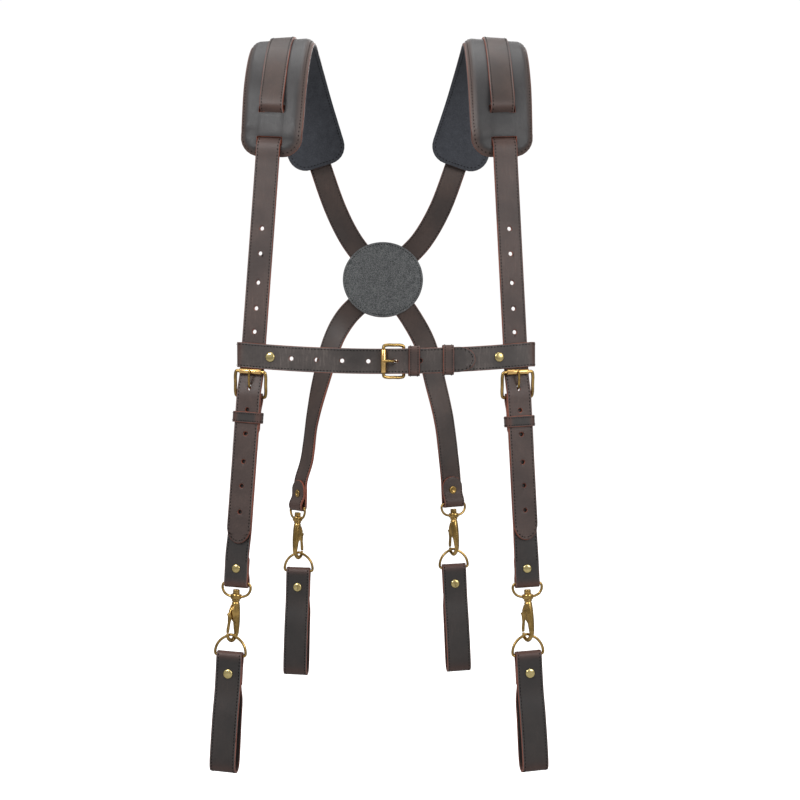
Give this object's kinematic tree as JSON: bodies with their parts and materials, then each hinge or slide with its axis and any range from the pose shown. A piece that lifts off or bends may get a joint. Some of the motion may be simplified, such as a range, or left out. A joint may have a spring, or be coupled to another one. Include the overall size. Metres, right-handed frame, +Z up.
{
  "type": "tool belt suspenders",
  "caption": "Leather suspenders with padded shoulders, crossed back straps, a buckled chest strap and snap-hook belt loops",
  "frame": {"origin": "midway between the undersides of the two shoulder arches, where the shoulders carry it", "axes": "+Z up, +X to the viewer's right in front, -Y the wearer's front"},
  "size_m": [0.4063, 0.2786, 0.9062],
  "materials": {
    "brown_leather": "waxed pull-up leather",
    "dark_leather": "waxed dark leather",
    "pad_leather": "waxed leather",
    "suede": "napped suede",
    "foam": "closed-cell foam",
    "antique_brass": "antique brass plate",
    "pale_brass": "satin brass plate"
  },
  "bodies": {
    "harness": {"pad_leather_left": "pad_leather", "pad_foam_left": "foam", "pad_lining_left": "suede", "front_strap_left": "brown_leather", "back_strap_from_left": "brown_leather", "lower_strap_left": "dark_leather", "buckle_left_frame": "antique_brass", "pad_leather_right": "pad_leather", "pad_foam_right": "foam", "pad_lining_right": "suede", "front_strap_right": "brown_leather", "back_strap_from_right": "brown_leather", "lower_strap_right": "dark_leather", "buckle_right_frame": "antique_brass", "patch_leather": "brown_leather", "patch_suede": "suede", "front_left_end_rivet": "pale_brass", "front_right_end_rivet": "pale_brass", "back_left_end_rivet": "pale_brass", "back_right_end_rivet": "pale_brass"},
    "chest_strap": {"chest_billet": "dark_leather", "chest_buckle_strap": "brown_leather", "chest_buckle_frame": "antique_brass", "chest_fixed_keeper": "brown_leather", "chest_rivet_left": "pale_brass", "chest_rivet_right": "pale_brass"},
    "buckle_left_roller": {"buckle_left_roller": "antique_brass"},
    "buckle_left_prong": {"buckle_left_prong": "antique_brass"},
    "keeper_left": {"keeper_left": "brown_leather"},
    "buckle_right_roller": {"buckle_right_roller": "antique_brass"},
    "buckle_right_prong": {"buckle_right_prong": "antique_brass"},
    "keeper_right": {"keeper_right": "brown_leather"},
    "chest_buckle_roller": {"chest_buckle_roller": "antique_brass"},
    "chest_buckle_prong": {"chest_buckle_prong": "antique_brass"},
    "chest_free_keeper": {"chest_free_keeper": "brown_leather"},
    "eye_front_left": {"eye_front_left": "antique_brass"},
    "hook_front_left": {"hook_front_left": "antique_brass"},
    "gate_front_left": {"gate_front_left": "antique_brass"},
    "ring_front_left": {"ring_front_left": "antique_brass"},
    "loop_front_left": {"loop_front_left": "dark_leather", "loop_rivet_front_left": "pale_brass"},
    "eye_front_right": {"eye_front_right": "antique_brass"},
    "hook_front_right": {"hook_front_right": "antique_brass"},
    "gate_front_right": {"gate_front_right": "antique_brass"},
    "ring_front_right": {"ring_front_right": "antique_brass"},
    "loop_front_right": {"loop_front_right": "dark_leather", "loop_rivet_front_right": "pale_brass"},
    "eye_back_left": {"eye_back_left": "antique_brass"},
    "hook_back_left": {"hook_back_left": "antique_brass"},
    "gate_back_left": {"gate_back_left": "antique_brass"},
    "ring_back_left": {"ring_back_left": "antique_brass"},
    "loop_back_left": {"loop_back_left": "dark_leather", "loop_rivet_back_left": "pale_brass"},
    "eye_back_right": {"eye_back_right": "antique_brass"},
    "hook_back_right": {"hook_back_right": "antique_brass"},
    "gate_back_right": {"gate_back_right": "antique_brass"},
    "ring_back_right": {"ring_back_right": "antique_brass"},
    "loop_back_right": {"loop_back_right": "dark_leather", "loop_rivet_back_right": "pale_brass"}
  },
  "joints": [
    {"name": "buckle_left_roller_spin", "type": "hinge", "parent": "harness", "child": "buckle_left_roller", "pos_m": [-0.1593, -0.12085, -0.41082], "axis": [0.9677, -0.2419, -0.0706], "continuous": true},
    {"name": "buckle_left_prong_lift", "type": "hinge", "parent": "harness", "child": "buckle_left_prong", "pos_m": [-0.1598, -0.11406, -0.44086], "axis": [0.9677, -0.2419, -0.0706], "range_deg": [0, 9]},
    {"name": "keeper_left_slide", "type": "slide", "parent": "harness", "child": "keeper_left", "axis": [0.0728, 0, 0.9973], "range_m": [-0.1, 0.001]},
    {"name": "buckle_right_roller_spin", "type": "hinge", "parent": "harness", "child": "buckle_right_roller", "pos_m": [0.16029, -0.12085, -0.4114], "axis": [0.969, 0.2419, 0.0494], "continuous": true},
    {"name": "buckle_right_prong_lift", "type": "hinge", "parent": "harness", "child": "buckle_right_prong", "pos_m": [0.16013, -0.11406, -0.44145], "axis": [0.969, 0.2419, 0.0494], "range_deg": [0, 9]},
    {"name": "keeper_right_slide", "type": "slide", "parent": "harness", "child": "keeper_right", "axis": [-0.0509, 0, 0.9987], "range_m": [-0.1, 0.001]},
    {"name": "chest_strap_slide", "type": "slide", "parent": "harness", "child": "chest_strap", "axis": [0, 0, 1], "range_m": [0, 0.03]},
    {"name": "chest_buckle_roller_spin", "type": "hinge", "parent": "chest_strap", "child": "chest_buckle_roller", "pos_m": [0.00009, -0.14432, -0.39916], "axis": [0, 0, 1], "continuous": true},
    {"name": "chest_buckle_prong_lift", "type": "hinge", "parent": "chest_strap", "child": "chest_buckle_prong", "pos_m": [0.02396, -0.13688, -0.39916], "axis": [0, 0, 1], "range_deg": [0, 9]},
    {"name": "chest_keeper_slide", "type": "slide", "parent": "chest_strap", "child": "chest_free_keeper", "axis": [0.9931, 0.1169, 0], "range_m": [-0.002, 0.009]},
    {"name": "front_left_eye_swing", "type": "hinge", "parent": "harness", "child": "eye_front_left", "pos_m": [-0.1764, -0.114, -0.6648], "axis": [0.969, -0.2419, -0.0508], "range_deg": [-40, 40]},
    {"name": "front_left_swivel", "type": "hinge", "parent": "eye_front_left", "child": "hook_front_left", "pos_m": [-0.1764, -0.114, -0.6648], "axis": [0.0523, 0, 0.9986], "continuous": true},
    {"name": "front_left_gate", "type": "hinge", "parent": "hook_front_left", "child": "gate_front_left", "pos_m": [-0.18116, -0.11706, -0.69509], "axis": [0.6937, -0.7193, -0.0364], "range_deg": [0, 12], "stiffness_Nm_per_rad": 0.02, "springref_deg": -5.73},
    {"name": "front_left_ring_swing", "type": "hinge", "parent": "hook_front_left", "child": "ring_front_left", "pos_m": [-0.18271, -0.11699, -0.72615], "axis": [0.9768, -0.2079, -0.0512], "range_deg": [-30, 30]},
    {"name": "front_left_loop_swing", "type": "hinge", "parent": "ring_front_left", "child": "loop_front_left", "pos_m": [-0.18399, -0.11699, -0.75052], "axis": [0.9768, -0.2079, -0.0512], "range_deg": [-60, 60]},
    {"name": "front_right_eye_swing", "type": "hinge", "parent": "harness", "child": "eye_front_right", "pos_m": [0.172, -0.114, -0.6648], "axis": [0.9889, 0.1392, 0.0518], "range_deg": [-40, 40]},
    {"name": "front_right_swivel", "type": "hinge", "parent": "eye_front_right", "child": "hook_front_right", "pos_m": [0.172, -0.114, -0.6648], "axis": [-0.0523, 0, 0.9986], "continuous": true},
    {"name": "front_right_gate", "type": "hinge", "parent": "hook_front_right", "child": "gate_front_right", "pos_m": [0.17044, -0.11094, -0.69542], "axis": [-0.6937, -0.7193, -0.0364], "range_deg": [0, 12], "stiffness_Nm_per_rad": 0.02, "springref_deg": -5.73},
    {"name": "front_right_ring_swing", "type": "hinge", "parent": "hook_front_right", "child": "ring_front_right", "pos_m": [0.17214, -0.11101, -0.72648], "axis": [0.9768, 0.2079, 0.0512], "range_deg": [-30, 30]},
    {"name": "front_right_loop_swing", "type": "hinge", "parent": "ring_front_right", "child": "loop_front_right", "pos_m": [0.17341, -0.11101, -0.75084], "axis": [0.9768, 0.2079, 0.0512], "range_deg": [-60, 60]},
    {"name": "back_left_eye_swing", "type": "hinge", "parent": "harness", "child": "eye_back_left", "pos_m": [-0.118, 0.112, -0.5888], "axis": [0.5876, -0.809, -0.0144], "range_deg": [-40, 40]},
    {"name": "back_left_swivel", "type": "hinge", "parent": "eye_back_left", "child": "hook_back_left", "pos_m": [-0.118, 0.112, -0.5888], "axis": [0.0244, 0, 0.9997], "continuous": true},
    {"name": "back_left_gate", "type": "hinge", "parent": "hook_back_left", "child": "gate_back_left", "pos_m": [-0.1158, 0.11527, -0.61936], "axis": [-0.7429, 0.6691, 0.0182], "range_deg": [0, 12], "stiffness_Nm_per_rad": 0.02, "springref_deg": -5.73},
    {"name": "back_left_ring_swing", "type": "hinge", "parent": "hook_back_left", "child": "ring_back_left", "pos_m": [-0.11663, 0.1152, -0.65045], "axis": [0.99, -0.1392, -0.0242], "range_deg": [-30, 30]},
    {"name": "back_left_loop_swing", "type": "hinge", "parent": "ring_back_left", "child": "loop_back_left", "pos_m": [-0.11722, 0.1152, -0.67485], "axis": [0.99, -0.1392, -0.0242], "range_deg": [-60, 60]},
    {"name": "back_right_eye_swing", "type": "hinge", "parent": "harness", "child": "eye_back_right", "pos_m": [0.091, 0.112, -0.584], "axis": [0.8979, 0.4384, 0.0408], "range_deg": [-40, 40]},
    {"name": "back_right_swivel", "type": "hinge", "parent": "eye_back_right", "child": "hook_back_right", "pos_m": [0.091, 0.112, -0.584], "axis": [-0.0454, 0, 0.999], "continuous": true},
    {"name": "back_right_gate", "type": "hinge", "parent": "hook_back_right", "child": "gate_back_right", "pos_m": [0.08944, 0.11527, -0.6146], "axis": [-0.7424, -0.6691, -0.0337], "range_deg": [0, 12], "stiffness_Nm_per_rad": 0.02, "springref_deg": -5.73},
    {"name": "back_right_ring_swing", "type": "hinge", "parent": "hook_back_right", "child": "ring_back_right", "pos_m": [0.09092, 0.1152, -0.64567], "axis": [0.9892, 0.1392, 0.0449], "range_deg": [-30, 30]},
    {"name": "back_right_loop_swing", "type": "hinge", "parent": "ring_back_right", "child": "loop_back_right", "pos_m": [0.09203, 0.1152, -0.67004], "axis": [0.9892, 0.1392, 0.0449], "range_deg": [-60, 60]}
  ]
}
